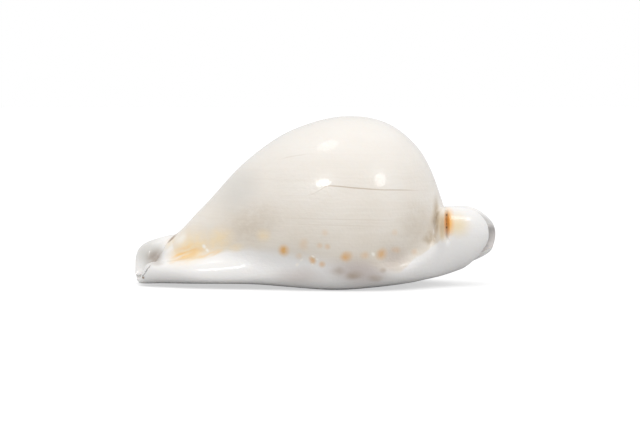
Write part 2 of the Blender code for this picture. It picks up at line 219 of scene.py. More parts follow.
def spire(here, y, z):
    """How far the surface goes in at the crevice and the groove, and out at the ledge."""
    across = ((y - SPIRE_Y) / SPIRE_HALF_WIDTH) ** 4
    folds = 0
    for depth, x, half_length, height, half_height in SPIRE_FOLDS.values():
        along = ((here["x"] - SPIRE_X - x) / half_length) ** 2
        folds = folds + depth * np.exp(-along - across - ((z - height) / half_height) ** 4)
    return folds


# The slit and its teeth
# The mouth of a full-grown shell is a long slit, bent towards the spire at the broad end. The
# two lips roll in to it, and the short round teeth on them fade out at the canals at both ends.
TOOTH_HEIGHT = 0.5
TOOTH_SPACING = {-1: 3.3, 1: 2.8}  # on the inner lip and on the outer lip
TOOTH_SHARPNESS = 1.3
TOOTH_CREST = 1  # from the slit's edge to where a tooth is highest
TOOTH_REACH = 2.6  # how far a tooth runs on from there
FIRST_TEETH, LAST_TEETH = (-41, -34), (31, 38)  # where the row fades in and out along X
LIP_REACH = 5  # how far from the middle of the slit the base draws in
LIP_FADES = (2, 4)  # the heights above the base between which this and the teeth end
slit_sizes = {
    "slit": [
        (-46, 0.3), (-30, 1.5), (-12, 3.6), (4, 4.6), (16, 4), (26, 1.6), (33, -0.6), (38, -1.4),
        (46, -1.6)],
    "slit width": [
        (-46, 0.9), (-42, 1.3), (-38, 2.6), (-33, 4.4), (-20, 6), (-4, 5.8), (12, 4.9), (28, 3.6),
        (34, 2.4), (40, 1.7), (46, 1.4)],
    "lip sink": [(-46, 0.1), (-41, 0.2), (-35, 0.8), (-28, 0.9), (28, 0.9), (36, 0.7), (46, 0.4)],
    "lip rounding": [
        (-46, 0.6), (-41, 0.9), (-35, 2.1), (-28, 2.3), (28, 2.3), (36, 1.6), (46, 0.9)],
    "lip height": [
        (-46, 0.6), (-42, 0.9), (-38, 1.7), (-34, 2.6), (-28, 3.6), (-16, 4.6), (0, 5.2), (18, 5),
        (28, 4), (34, 3), (46, 2.6)],
}


def smooth_step(value, low, high):
    """0 below low and 1 above high, with a soft rise between them."""
    share = np.clip((value - low) / (high - low), 0, 1)
    return share * share * (3 - 2 * share)


def toothed(x):
    """1 along the row of teeth, fading to 0 at the canals."""
    return smooth_step(x, *FIRST_TEETH) * (1 - smooth_step(x, *LAST_TEETH))


def tooth(x, lip):
    """The height of a lip's teeth at x: round ridges, a little uneven."""
    turn = x / TOOTH_SPACING[lip] + 0.2 * np.sin(x / 7 + lip)
    ridge = (0.5 + 0.5 * np.cos(2 * math.pi * turn)) ** TOOTH_SHARPNESS
    return TOOTH_HEIGHT * ridge * toothed(x)


def lips(here, y, z):
    """The base draws in towards the slit, and the teeth run out over it."""
    out = y - here["slit"]
    low = 1 - smooth_step(z - here["base"], *LIP_FADES)
    from_crest = np.abs(out) - here["slit width"] / 2 - TOOTH_CREST
    beside = np.exp(-((from_crest / TOOTH_REACH) ** 2))
    teeth = np.where(out < 0, tooth(here["x"], -1), tooth(here["x"], 1))
    return (here["lip sink"] * np.exp(-((out / LIP_REACH) ** 2)) - teeth * beside) * low


# The hollow
# The animal's living space, smooth inside, which narrows to a canal at each end. The wall round
# it is 1.4 to 2 mm thick over the back and thicker where the callus lies on it.
HOLLOW_SQUARENESS = 2.1
HOLLOW_WIDEST = 0.42  # share of its height
hollow_sizes = {
    "hollow out": [
        (-46, 0.3), (-30, 1.2), (-18, 0.6), (0, 0), (12, 0), (22, 0.4), (28, 0.4), (33, -0.6),
        (38, -1.4), (46, -1.6)],
    "hollow half width": [
        (-46, 0.9), (-42, 1.1), (-38, 2), (-33, 3.8), (-28, 6.8), (-20, 12.4), (-12, 17.6),
        (-4, 21.9), (4, 24.1), (10, 24.3), (16, 22.5), (21, 18.6), (25, 13), (28, 7.6), (31, 3.6),
        (34, 2.3), (40, 1.6), (46, 1.3)],
    "hollow top": [
        (-46, 2.9), (-42, 3.5), (-38, 5.4), (-34, 9), (-28, 17), (-20, 26), (-12, 33.4), (-4, 38.2),
        (4, 40.6), (10, 41), (16, 39.8), (21, 36.4), (25, 30), (28, 22), (31, 15.6), (34, 14.2),
        (38, 14.6), (46, 15)],
    # A line inside the hollow, from which rays find the outside of the shell
    "ray out": [
        (-46, 3.6), (-40, 3.4), (-34, 2.6), (-28, 1.8), (-12, 3), (4, 3.6), (16, 3), (26, 1.2),
        (33, -0.4), (38, -1), (46, -1.2)],
    "ray height": [
        (-46, 3.9), (-40, 4.2), (-35, 5.4), (-30, 7), (-20, 9.5), (-5, 12), (10, 13), (24, 13),
        (30, 13.2), (36, 13.8), (46, 14)],
}
LIP_COLUMNS = 14  # from the edge of the slit to the base, on each lip
FAR_OUT = 60.0  # outside the shell on every side
HALVINGS = 26


def cast(here, turn):
    """Where rays from inside leave the shell. Turn 0 is straight down and a quarter turn is -Y."""
    side, up = -np.sin(turn), -np.cos(turn)
    near, far = np.zeros_like(turn), np.full_like(turn, FAR_OUT)
    for _ in range(HALVINGS):
        half = (near + far) / 2
        y, z = here["ray out"] + half * side, here["ray height"] + half * up
        shell = blend(callus(here, y, z), back(here, y, z), here["blend"])
        inside = shell + spire(here, y, z) + lips(here, y, z) < 0
        near, far = np.where(inside, half, near), np.where(inside, far, half)
    return here["ray out"] + near * side, here["ray height"] + near * up


def even_turns(trace, first, last, count):
    """For each row, the turns that cut the traced curve into equal lengths."""
    turn = first + (last - first) * np.linspace(0, 1, 241)
    y, z = trace(turn)
    steps = np.hypot(np.diff(y, prepend=y[:, :1]), np.diff(z, prepend=z[:, :1]))
    travel = np.cumsum(steps, axis=1)
    return np.array([
        np.interp(np.linspace(0, row[-1], count), row, turns) for row, turns in zip(travel, turn)])


def sections(x, columns):
    """The wall's outer and inner (y, z) at every x, from the inner lip round to the outer lip."""
    sizes = {**back_sizes, **callus_sizes, **slit_sizes, **hollow_sizes}
    here = {name: smooth_curve(knots, x)[:, None] for name, knots in sizes.items()}
    here["x"] = x[:, None]
    slit, gap, base = here["slit"], here["slit width"] / 2, here["base"]
    round_columns = columns - 2 * LIP_COLUMNS
    reach, drop = gap + here["lip rounding"], here["ray height"] - base
    first = np.arctan2(here["ray out"] - slit + reach, drop)
    last = 2 * math.pi - np.arctan2(slit + reach - here["ray out"], drop)
    outer = cast(here, even_turns(lambda turn: cast(here, turn), first, last, round_columns))

    # The hollow has its own oval, and starts where the rounded inner edge of each lip ends
    floor = base + here["lip height"]
    widest = floor + (here["hollow top"] - floor) * HOLLOW_WIDEST
    roll = np.clip(here["hollow half width"] - gap - 0.3, 0.2, here["lip rounding"])

    def hollow(turn):
        """The hollow's (y, z) in this direction from its own middle."""
        side, up = -np.sin(turn), -np.cos(turn)
        half_height = np.where(up > 0, here["hollow top"] - widest, widest - floor)
        across, along = np.abs(side / here["hollow half width"]), np.abs(up / half_height)
        reach = across**HOLLOW_SQUARENESS + along**HOLLOW_SQUARENESS
        reach = reach ** (-1 / HOLLOW_SQUARENESS)
        return here["hollow out"] + reach * side, widest + reach * up

    def turn_at(offset):
        """The turn at which the lower half of the hollow is this far to the side."""
        turn = np.linspace(0, math.pi / 2, 181) * np.ones_like(offset)
        out = here["hollow out"] - hollow(turn)[0]
        turns = [np.interp(far, row, turn[0]) for far, row in zip(offset[:, 0], out)]
        return np.array(turns)[:, None]

    first = turn_at(here["hollow out"] - slit + gap + roll)
    last = 2 * math.pi - turn_at(slit - here["hollow out"] + gap + roll)
    inner = hollow(even_turns(hollow, first, last, round_columns))

    # Each lip has a quarter round from the slit's edge down to the base, and one up to the hollow
    turn = np.linspace(0, math.pi / 2, LIP_COLUMNS + 1)[:-1]
    faces = []
    for face in (outer, inner):
        edges = []
        for side, column in ((-1, 0), (1, -1)):
            edge = slit + side * (gap - tooth(here["x"], side))
            low, high = outer[1][:, column, None], inner[1][:, column, None]
            waist = low + np.minimum(here["lip rounding"], (high - low) / 2)
            end_y, end_z = [axis[:, column, None] for axis in face]
            edge_y = end_y + (edge - end_y) * np.cos(turn)
            edges.append([edge_y, waist + (end_z - waist) * np.sin(turn)])
        first_lip, last_lip = edges
        faces.append(np.stack([
            np.concatenate([first_lip[k], face[k], last_lip[k][:, ::-1]], axis=1)
            for k in (0, 1)], axis=2))
    return faces


# The two ends
# At the broad end the wall closes over two round lobes with a notch between them, and at the
# narrow end over a short flange, the steep end of the back, and a longer flange behind.
SECTIONS_END = 45.8  # sections are worked out this far each way
SECTIONS = 700
NARROW_CAP = -38.5  # where the wall starts to close towards its rim
SPIRE_CAP = 36.0
CAP_SQUARENESS = (4.5, 2.2)  # of the closing wall at the narrow and at the broad end
CORNER_ROUNDING = (0.8, 1.6)  # where the slit runs out through the narrow and the broad end
RIM_LEAN = (0.2, 0.3)  # at the two ends, from 0, on the inner face of the wall, to 1, on the outer
LOBE_HEIGHT = 13.6  # of the middle of both lobes
NOTCH_DEPTH = 5


def spire_rim(y, z):
    """How far +X the middle of the wall reaches."""
    up, upper = z - LOBE_HEIGHT, z > LOBE_HEIGHT
    # The inner lobe is an oval 6.8 mm up and 4.9 mm down from its middle, the outer one is round
    rise, squareness = up / np.where(upper, 6.8, 4.9), np.where(upper, 2.6, 2)
    inner_lobe = 36.5 + 6.7 * np.maximum(1 - np.abs(rise) ** squareness, 0.05) ** (1 / squareness)
    rise = up * np.where(upper, 0.95, 0.98)
    outer_lobe = 38.8 + np.sqrt(np.maximum(6.5**2 - rise**2, 2))
    notch = NOTCH_DEPTH * (np.exp(-(((y + 1.4) / 1.5) ** 2)) * smooth_step(z, 12, 16))
    return inner_lobe + (outer_lobe - inner_lobe) * smooth_step(y, -2.6, 0.6) - notch


def narrow_rim(y, z):
    """How far -X the middle of the wall reaches."""
    # Seen along X from over the canal, 0 degrees is straight up and -90 is towards the inner lip
    turn = np.degrees(np.arctan2(y - 0.3, z - 3.2))
    short_flange = -44 + 1.1 * np.maximum(z - 2.5, 0)
    long_flange = -45.2 + 0.3 * np.maximum(z - 8.5, 0) + 0.2 * np.maximum(5 - z, 0)
    roof = short_flange + (-40.2 - short_flange) * smooth_step(turn, -70, -30)
    return roof + (long_flange - roof) * smooth_step(turn, 12, 50)


def wall(rows, columns):
    """Two grids of points, the outer and inner faces of the wall, which meet all along its rim."""
    table_x = np.linspace(-SECTIONS_END, SECTIONS_END, SECTIONS)
    faces = sections(table_x, columns)
    lean = np.interp(table_x, (-30, 30), RIM_LEAN)[:, None, None]
    middle = faces[0] * lean + faces[1] * (1 - lean)

    def sample(face, x):
        """The face's (y, z), with one x for each column."""
        return np.array([
            [np.interp(x[j], table_x, face[:, j, k]) for k in (0, 1)] for j in range(columns)])

    # Rows are closer together where the crest is steep, and closest at the spire
    inside = table_x[(table_x >= NARROW_CAP) & (table_x <= SPIRE_CAP)]
    travel = np.hypot(np.diff(inside), 0.5 * np.diff(smooth_curve(back_sizes["crest"], inside)))
    crowding = 1 + 2 * np.exp(-(((inside[1:] - SPIRE_X) / 2) ** 2))
    travel = np.cumsum(np.append(0, travel * crowding))
    cap_rows = rows // 7
    tube = np.interp(np.linspace(0, travel[-1], rows - 2 * cap_rows + 1), travel, inside)[1:-1]

    # Each rim depends on where the wall is there, so it is worked out anew until it settles
    rims = []
    for rim, first_x, rounding in zip((narrow_rim, spire_rim), (-42.0, 40.0), CORNER_ROUNDING):
        x = np.full(columns, first_x)
        for _ in range(8):
            point = sample(middle, x)
            x = rim(*point.T)
        step = np.hypot(*np.diff(point, axis=0).T)
        from_first_lip = np.append(0, np.cumsum(step))
        from_last_lip = np.append(np.cumsum(step[::-1])[::-1], 0)
        short = np.clip(1 - np.minimum(from_first_lip, from_last_lip) / rounding, 0, 1)
        rims.append(x - np.sign(x) * rounding * (1 - np.sqrt(1 - short**2)))

    def cap(face, start, rim, squareness):
        """Rows in which the face closes in on the middle of the wall, up to the rim."""
        lines = []
        for share in np.sin(np.linspace(0, math.pi / 2, cap_rows + 1)):
            x = start + (rim - start) * share
            closing = 1 - (1 - share**squareness) ** (1 / squareness)
            point = sample(face, x) * (1 - closing) + sample(middle, x) * closing
            lines.append(np.column_stack([x, point]))
        return lines

    grids = []
    for face in faces:
        lines = cap(face, NARROW_CAP, rims[0], CAP_SQUARENESS[0])[::-1]
        for tube_x in tube:
            x = np.full(columns, tube_x)
            lines.append(np.column_stack([x, sample(face, x)]))
        grids.append(np.array(lines + cap(face, SPIRE_CAP, rims[1], CAP_SQUARENESS[1])))
    return grids


# The shell itself
# One sheet goes over the outer face of the wall and back over the inner one. The lowest part of
# the base is worn flat, and that small flat spot is what the shell lies on.
ROWS_ALONG = 270
COLUMNS_AROUND = 160
FLAT_SPOT = 0.5

outer, inner = wall(ROWS_ALONG, COLUMNS_AROUND)
loop = np.concatenate([outer, inner[:, -2:0:-1], outer[:, :1]], axis=1)
lowest, highest = loop.min(axis=(0, 1)), loop.max(axis=(0, 1))
loop -= [*(lowest[:2] + highest[:2]) / 2, lowest[2] + FLAT_SPOT]
loop[..., 2] = np.maximum(loop[..., 2], 0)
along, around = loop.shape[0] - 1, loop.shape[1] - 1

# The colours need to know the inner face of the wall, which starts softly round each lip, the gap
# between the lobes at the spire end, which gets painted shade, and the grooves between the teeth
loop_x, loop_y, loop_z = np.moveaxis(loop, 2, 0)
is_inner = smooth_step(np.arange(around + 1), COLUMNS_AROUND - 6, COLUMNS_AROUND + 2)
is_inner = np.tile(is_inner, (along + 1, 1))
is_inner[:, :8] = 1 - smooth_step(np.arange(8), -4, 7)
# Painted shade in the gap between the lobes and in the notch above it
into_gap = loop_x[-1] - loop_x
gap_shade = is_inner * smooth_step(into_gap, 0.4, 2.4) * (1 - smooth_step(into_gap, 5, 14))
in_notch = np.exp(-(((loop_y - 0.9) / 1.5) ** 2)) * smooth_step(loop_x, 37, 40)
gap_shade = np.maximum(gap_shade, in_notch * smooth_step(loop_z, 11, 14))
is_inner *= smooth_step(loop_x, -42, -34)
from_slit = loop_y - smooth_curve(slit_sizes["slit"], loop_x)
teeth = np.where(from_slit < 0, tooth(loop_x, -1), tooth(loop_x, 1)) / TOOTH_HEIGHT
beside = np.exp(-(((np.abs(from_slit) - 3.4) / 2) ** 2)) * (1 - smooth_step(loop_z, 2, 5))
is_groove = (toothed(loop_x) - teeth) * beside

loop = np.clip(loop * MM, *np.array(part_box("cowrie_shell")))
shell_mesh = bmesh.new()
shares = {"inside": is_inner, "gap": gap_shade, "groove": is_groove}
layers = {name: shell_mesh.verts.layers.float.new(name) for name in shares}
bmesh.ops.create_grid(shell_mesh, x_segments=around, y_segments=along, size=1)
for vertex in shell_mesh.verts:
    column, row = round((vertex.co.x + 1) / 2 * around), round((vertex.co.y + 1) / 2 * along)
    vertex.co = loop[row, column]
    for name, layer in layers.items():
        vertex[layer] = shares[name][row, column]
bmesh.ops.remove_doubles(shell_mesh, verts=shell_mesh.verts, dist=0.001 * MM)
bmesh.ops.recalc_face_normals(shell_mesh, faces=shell_mesh.faces)
for face in shell_mesh.faces:
    face.smooth = True
shell_surface = BVHTree.FromBMesh(shell_mesh)

shell = bpy.data.objects.new("shell", bpy.data.meshes.new("shell"))
shell_mesh.to_mesh(shell.data)
shell_mesh.free()
bpy.context.scene.collection.objects.link(shell)
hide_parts("cowrie_shell")
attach(shell, "root")


# Porcelain-like shell
# Cowrie shell is aragonite laid down in fine layers and kept smooth by the mantle, so it shines
# like glazed porcelain and lets a little light in. The back is cream with faint lines along it,
# the callus is white, and spots and stains of orange, olive and brown lie along their border.
# Painted light is laid over them too: a paler top, painted shade in creases, at the narrow end
# and in the gap between the lobes, and small white painted glints.
def linear(hex_colour):
    """An sRGB hex colour as the linear values that a shader takes."""
    values = [int(hex_colour[k : k + 2], 16) / 255 for k in (1, 3, 5)]
    return [v / 12.92 if v <= 0.04045 else ((v + 0.055) / 1.055) ** 2.4 for v in values] + [1.0]


porcelain = bpy.data.materials.new("aragonite_shell")
porcelain.use_nodes = True
tree = porcelain.node_tree
surface = tree.nodes["Principled BSDF"]


def node(kind, links=(), stops=(), **settings):
    """Adds a node to the tree being built, and gives it back.

    Links are (input, socket or value) pairs, and settings are the node's properties. Stops are
    the (place, colour) pairs of a colour ramp, with places between 0 and 1.
    """
    added = tree.nodes.new("ShaderNode" + kind)
    for name, value in settings.items():
        setattr(added, name, value)
    for name, value in links:
        if isinstance(value, bpy.types.NodeSocket):
            tree.links.new(value, added.inputs[name])
        else:
            added.inputs[name].default_value = value
    for place, colour in stops:
        added.color_ramp.elements.new(place).color = colour
    for end in (0, -1) if stops else ():
        added.color_ramp.elements.remove(added.color_ramp.elements[end])
    return added


on_object = node("TexCoord").outputs["Object"]
in_mm = node("VectorMath", [(0, on_object), (1, (1 / MM,) * 3)], operation="MULTIPLY").outputs[0]

# Every edge and spot wanders a little from its place, in bends about 5 mm long
BEND_LENGTH = 5
BEND_WIDTH = 1.3
wander = node("TexNoise", [("Vector", in_mm), ("Scale", 1 / BEND_LENGTH), ("Detail", 1)])
aside = node("VectorMath", [(0, wander.outputs["Color"]), (1, (0.5,) * 3)], operation="SUBTRACT")
wavy = node(
    "VectorMath", [(0, aside.outputs[0]), (1, (BEND_WIDTH,) * 3), (2, in_mm)],
    operation="MULTIPLY_ADD").outputs[0]
along_x, out_y, up_z = node("SeparateXYZ", [(0, wavy)]).outputs

# How much a point belongs to the far side, and to the near one. They change over at the crest.
# A range node's inputs 1 and 2 are where it starts and ends, and 3 and 4 what it gives there
far = node(
    "MapRange", [("Value", out_y), (1, -2), (2, 2)], interpolation_type="SMOOTHSTEP").outputs[0]
near = node("Math", [(0, 1), (1, far)], operation="SUBTRACT").outputs[0]

# Patterns that break up the colours: their turn about Y in degrees, the size of a patch in mm,
# the noise values between which they come in, and their least share
GRAINS = {
    "clouds": (0, (9, 9, 6), 0.3, 0.7, 0),
    "lines": (0, (30, 12, 0.55), 0.35, 0.7, 0),
    "patches": (0, (2.2, 2.2, 1.8), 0.35, 0.55, 0.65),
    "streaks": (-22, (7, 7, 1), 0.4, 0.6, 0.1),
    "dots": (0, (0.5, 0.5, 0.5), 0.42, 0.55, 0),
}
grains = {}
for name, (turn, size, low, high, least) in GRAINS.items():
    laid = node(
        "Mapping", [("Vector", wavy), ("Rotation", (0, math.radians(turn), 0)), ("Scale", size)],
        vector_type="TEXTURE")
    noise = node("TexNoise", [("Vector", laid.outputs[0]), ("Scale", 1), ("Detail", 4)])
    grain = node("MapRange", [("Value", noise.outputs[0]), (1, low), (2, high), (3, least)])
    grains[name] = grain.outputs[0]


def painted(below, share, colour):
    """The colour below, with a share of another colour laid over it."""
    return node("Mix", [(0, share), (6, below), (7, colour)], data_type="RGBA").outputs[2]


# The back: cream, faintly clouded, with fine growth lines that fade towards the top. It is painted
# paler towards the top too, as painted light from above.
top = node("MapRange", [("Value", up_z), (1, 14), (2, 34), (4, 0.6)]).outputs[0]
colour = painted(linear("#EAE1D4"), grains["clouds"], linear("#F0E9DF"))
colour = painted(colour, top, linear("#F3EFEA"))
fading = node("MapRange", [("Value", up_z), (1, 28), (2, 38), (3, 0.18), (4, 0.02)]).outputs[0]
faint = node("Math", [(0, grains["lines"]), (1, fading)], operation="MULTIPLY").outputs[0]
colour = painted(colour, faint, linear("#DDD3C5"))

# The upper edge of the white callus on each side: (x, height, how far it fades), in mm
CALLUS_EDGES = {
    near: [
        (-38.5, 20, 1), (-36.5, 14, 1.6), (-34.5, 6.2, 1.6), (-31, 7, 0.8), (-25, 8, 1),
        (-19, 9.7, 1.6), (-13, 10.2, 2.5), (-6, 8.7, 4), (4, 7.2, 4), (13, 6.5, 3), (20, 4.2, 1.6),
        (21.8, 5.4, 1), (23.6, 7, 0.8), (26.5, 9, 0.8), (29.6, 11.4, 0.8), (32, 13, 0.8),
        (33, 25, 1)],
    far: [
        (-41, 20, 1), (-39, 10.5, 1), (-35, 12.6, 1), (-28, 11.6, 1.2), (-20, 10.5, 2),
        (-12, 10.3, 3), (-4, 9.2, 4), (6, 8.4, 4), (14, 8.2, 3), (20, 8.8, 1.6), (25, 10.6, 1),
        (28, 13, 1), (30, 16.5, 0.8), (32, 19, 0.8), (33, 25, 1)],
}
# Where the mantle's edge has lain for a while, thin lines along the back: (x, height, strength)
MANTLE_LINES = [
    (near, [
        (-2, 23.2, 0), (0.2, 23.8, 0.2), (2.4, 25.8, 0.35), (4.5, 25.7, 0.6), (9, 25.3, 0.65),
        (14.5, 24.7, 0.55), (19, 24.6, 0.5), (23, 24.4, 0.3), (26, 24.1, 0)]),
    (near, [(-8, 17.9, 0), (-4, 17.8, 0.12), (8, 17.7, 0.15), (16, 17.4, 0.1), (19, 17.3, 0)]),
    (near, [(-7, 16.4, 0), (-2, 16.4, 0.12), (10, 16.2, 0.15), (17, 15.8, 0)]),
    (near, [(-9, 31.6, 0), (-7, 32.2, 0.15), (-3, 33, 0.15), (-1.5, 33.2, 0)]),
    (far, [
        (-12, 27.6, 0), (-8, 28.2, 0.3), (0, 28.8, 0.5), (8, 29.3, 0.6), (14, 28.2, 0.5),
        (19, 26.4, 0)]),
    (far, [(-10, 19.8, 0), (-4, 19.6, 0.15), (9, 19.1, 0.15), (18, 18.6, 0)]),
]
LONGEST, HIGHEST = 48, 50  # x and height that stand at 1 in the curves' ramps


def under_curve(knots, minus_z):
    """How far a point is below a curve drawn along the shell, and the curve's own value there."""
    ramp = node("ValToRGB", [(0, along_ramp)], [
        ((x / LONGEST + 1) / 2, (z / HIGHEST, value / HIGHEST, 0, 1)) for x, z, value in knots])
    ramp.color_ramp.interpolation = "B_SPLINE"
    height, value, _ = node("SeparateColor", [(0, ramp.outputs[0])]).outputs
    value = node("Math", [(0, value), (1, HIGHEST)], operation="MULTIPLY").outputs[0]
    below = node("Math", [(0, height), (1, HIGHEST), (2, minus_z)], operation="MULTIPLY_ADD")
    return below.outputs[0], value


steady_z = node("SeparateXYZ", [(0, in_mm)]).outputs[2]
minus_wavy, minus_steady = [
    node("Math", [(0, z), (1, -1)], operation="MULTIPLY").outputs[0] for z in (up_z, steady_z)]
along_ramp = node("MapRange", [("Value", along_x), (1, -LONGEST), (2, LONGEST)]).outputs[0]
white = 0
for side, knots in CALLUS_EDGES.items():
    below, fade = under_curve(knots, minus_wavy)
    fades = node("Math", [(0, below), (1, fade)], operation="DIVIDE").outputs[0]
    share = node(
        "MapRange", [("Value", fades), (1, -0.5), (2, 0.5)],
        interpolation_type="SMOOTHSTEP").outputs[0]
    white = node(
        "Math", [(0, share), (1, side), (2, white)], operation="MULTIPLY_ADD").outputs[0]
colour = painted(colour, white, linear("#F4F2F0"))

LINE_EDGE, LINE_CORE = 0.24, 0.02  # how far from a line's middle it ends, and is at its darkest
lines = 0
for side, knots in MANTLE_LINES:
    off, strength = under_curve(knots, minus_steady)
    off = node("Math", [(0, off)], operation="ABSOLUTE").outputs[0]
    thin = node(
        "MapRange", [("Value", off), (1, LINE_EDGE), (2, LINE_CORE)],
        interpolation_type="SMOOTHSTEP").outputs[0]
    thin = node("Math", [(0, thin), (1, strength)], operation="MULTIPLY").outputs[0]
    lines = node("Math", [(0, thin), (1, side), (2, lines)], operation="MULTIPLY_ADD").outputs[0]
colour = painted(colour, lines, linear("#A98F70"))

# Stains, with some painted shade and painted glints among them: colour, the pattern that breaks it
# up, and the marks on the near and on the far side.
# A mark is (x, height, half length, half height, rise in degrees, strength), in mm.
STAINS = {
    # Olive-brown stains, partly painted shade: the flanks darker away from the light, and the
    # groove between the ledge and the back, with the blotch below it, darkened as painted shade.
    "olive brown stain and painted shade": ("#BFAD93", "patches", [
        (-15.5, 15.5, 11, 8, 30, 0.4), (-17, 12.6, 6, 4, 10, 0.3), (24.5, 15, 6, 9, 10, 0.3),
        (28, 12.4, 3.2, 2.6, 0, 0.85), (29.8, 17.4, 1.3, 8, 0, 0.95),
        (31, 15.2, 1.1, 4.4, 0, 0.75)],
        [(-14, 15, 11, 7, 30, 0.25), (23, 15, 7, 8, 10, 0.25), (28.5, 17, 1.6, 6, 0, 0.35)]),
    "pinkish painted shade, grey": ("#BFADA4", None, [
        (-4, 3.6, 9, 3, 0, 0.35), (11, 5, 11, 4.6, -6, 0.6), (19, 7.6, 6, 4.6, 30, 0.4)],
        [(4, 5, 11, 4, 0, 0.4), (17, 6.6, 6, 3.6, 15, 0.35)]),
    # Painted shade: greyer on the far flange of the narrow end and on the upper left slopes, on
    # both sides.
    "painted shade, grey": ("#CFCDC8", None, [
        (-41.5, 7.6, 5.4, 6, 0, 0.9), (-19, 24, 10, 7, 45, 0.5)],
        [(-44, 6, 3, 5, 0, 0.4), (-18, 24, 8, 6, 45, 0.4)]),
    "amber tinge": ("#FAE2B6", "patches", [
        (-12.4, 13.3, 2.6, 2.4, 0, 0.55), (-24, 11.6, 6, 4.2, 24, 0.75),
        (-30.5, 9.6, 8.4, 5, 24, 0.9), (-36.5, 10.6, 2.8, 1.8, 40, 0.7),
        (-19.5, 10.2, 3, 1.6, 10, 0.6)],
        [(-22, 12.6, 5, 2.8, 20, 0.6), (-30, 13.8, 6, 2.6, 24, 0.7),
         (-11, 13.4, 2.6, 2.2, 0, 0.5)]),
    "orange of the narrow end": ("#F8CB82", "streaks", [
        (-31.5, 8.4, 6, 2.8, 20, 0.8), (-33.2, 7.4, 4.4, 1.4, 20, 1),
        (-26, 8.5, 4.6, 1.2, 14, 0.8)],
        [(-30, 13.2, 5, 2, 24, 0.8), (-25, 12.2, 4, 1.4, 20, 0.6)]),
    "orange spots": ("#EAB468", "patches", [
        (-7.4, 9.9, 2.1, 2.1, 0, 1), (7.7, 8.6, 2.1, 1.8, 0, 0.8), (16.1, 9.2, 2, 2, 0, 0.7),
        (-0.7, 7.8, 1.4, 1.5, 0, 0.75), (1.7, 6.8, 1.2, 1.1, 0, 0.55),
        (19.6, 10, 1.8, 1.3, 0, 0.35), (12, 9, 1.6, 1.5, 0, 0.35), (1, 11.2, 1.1, 1.1, 0, 0.35),
        (2.9, 11, 1.1, 1.1, 0, 0.35), (-2.9, 11.6, 1.8, 2.2, 0, 0.25),
        (-3.9, 8.7, 1.2, 1.2, 0, 0.25), (24.4, 9.2, 1.3, 1.3, 0, 0.25),
        (19.1, 14.2, 1.2, 1.3, 0, 0.2), (2.4, 14.4, 1.1, 1.3, 0, 0.2)],
        [(-9, 9.6, 1.8, 1.7, 0, 0.85), (-2, 8.8, 2, 1.9, 0, 1), (3, 11.4, 1.3, 1.2, 0, 0.4),
         (6.4, 8.2, 1.4, 1.3, 0, 0.7), (12.2, 9.4, 1.9, 1.8, 0, 0.9),
         (15.6, 11.8, 1.2, 1.2, 0, 0.35), (19, 9.6, 1.6, 1.6, 0, 0.6),
         (-5.4, 12.2, 1.2, 1.1, 0, 0.3), (9.4, 6, 1.3, 1.1, 0, 0.5)]),
    "brown spots": ("#A98F6E", "patches", [
        (5.5, 5.1, 2.4, 1.6, 0, 0.35), (9.4, 4.1, 3, 1.6, 0, 0.5), (14.5, 3.3, 2.6, 1.3, 0, 0.35),
        (16.4, 5.2, 1.1, 1, 0, 0.45)],
        [(-4, 4.6, 1.8, 1.2, 0, 0.45), (2.4, 4, 2.2, 1.3, 0, 0.5), (14, 4.6, 1.6, 1.1, 0, 0.5)]),
    "glow beside the spire": ("#F6E0B6", None, [
        (34.4, 15.6, 5.4, 4, -16, 0.85), (31.4, 13.4, 1.6, 2.8, 0, 0.6)], []),
    "amber of the ledge": ("#C9B08A", None, [(30.9, 15.6, 1.2, 4.4, 0, 0.8)], []),
    "orange of the spire": ("#FBBE68", None, [(33, 16.2, 1.8, 4.6, 0, 1)], []),
    # A brownish smudge together with painted shade, in the trough between the flanges at the narrow
    # end.
    "smudge and painted shade in the trough of the narrow end": ("#A08F80", None, [
        (-40, 6.6, 3.4, 2.8, 20, 0.7), (-39.2, 6.1, 2.6, 1.1, 0, 0.45)], []),
    # Painted glints: small white flecks that stand in for the lamps' reflections off tiny pits on
    # the margin and in the trough.
    "painted glints": ("#FFFAF2", None, [
        (-4.2, 6.5, 0.8, 0.6, 50, 1), (-3.3, 7.7, 0.7, 0.4, 50, 0.8), (-0.5, 8.7, 0.8, 0.4, -20, 1),
        (0.5, 8.1, 0.6, 0.4, -20, 0.8), (-0.7, 6.6, 0.5, 0.45, 0, 0.9), (14, 9.3, 0.9, 0.6, -45, 1),
        (-27.6, 10, 0.9, 0.7, -45, 1), (-26.8, 9.2, 0.8, 0.6, -45, 0.9),
        (-36.2, 9.2, 1.2, 0.7, 30, 0.7), (-33.4, 11.6, 2.4, 1.3, 40, 0.6)],
        [(5, 7.2, 1, 0.4, 30, 0.9), (-6, 8, 0.9, 0.4, -35, 0.9)]),
    # Dark dirt dots on the short flange of the narrow end and in the spire's crevice; the thin dark
    # line down the crevice is painted shade.
    "dirt and painted shade in the crevice": ("#3A2D22", "dots", [
        (-41.4, 4.1, 2.4, 0.26, 60, 1), (-42.3, 2.6, 0.6, 0.5, 0, 1),
        (32.5, 17.8, 0.3, 0.7, 0, 0.9), (32.4, 14.7, 0.35, 0.5, 0, 0.9),
        (32.5, 16.3, 0.25, 3, 0, 0.6)], []),
    "brown line on the narrow end": ("#8C6A48", None, [
        (-35.8, 11.5, 2.4, 0.22, 41, 0.8), (-42.4, 2.2, 0.5, 0.5, 0, 1)], []),
}


def on_shell(x, height, side):
    """The point of the shell's side, -1 near and 1 far, at this x and height, all in mm."""
    start, inward = Vector((x, side * FAR_OUT, height)) * MM, Vector((0, -side, 0))
    return shell_surface.ray_cast(start, inward)[0] / MM


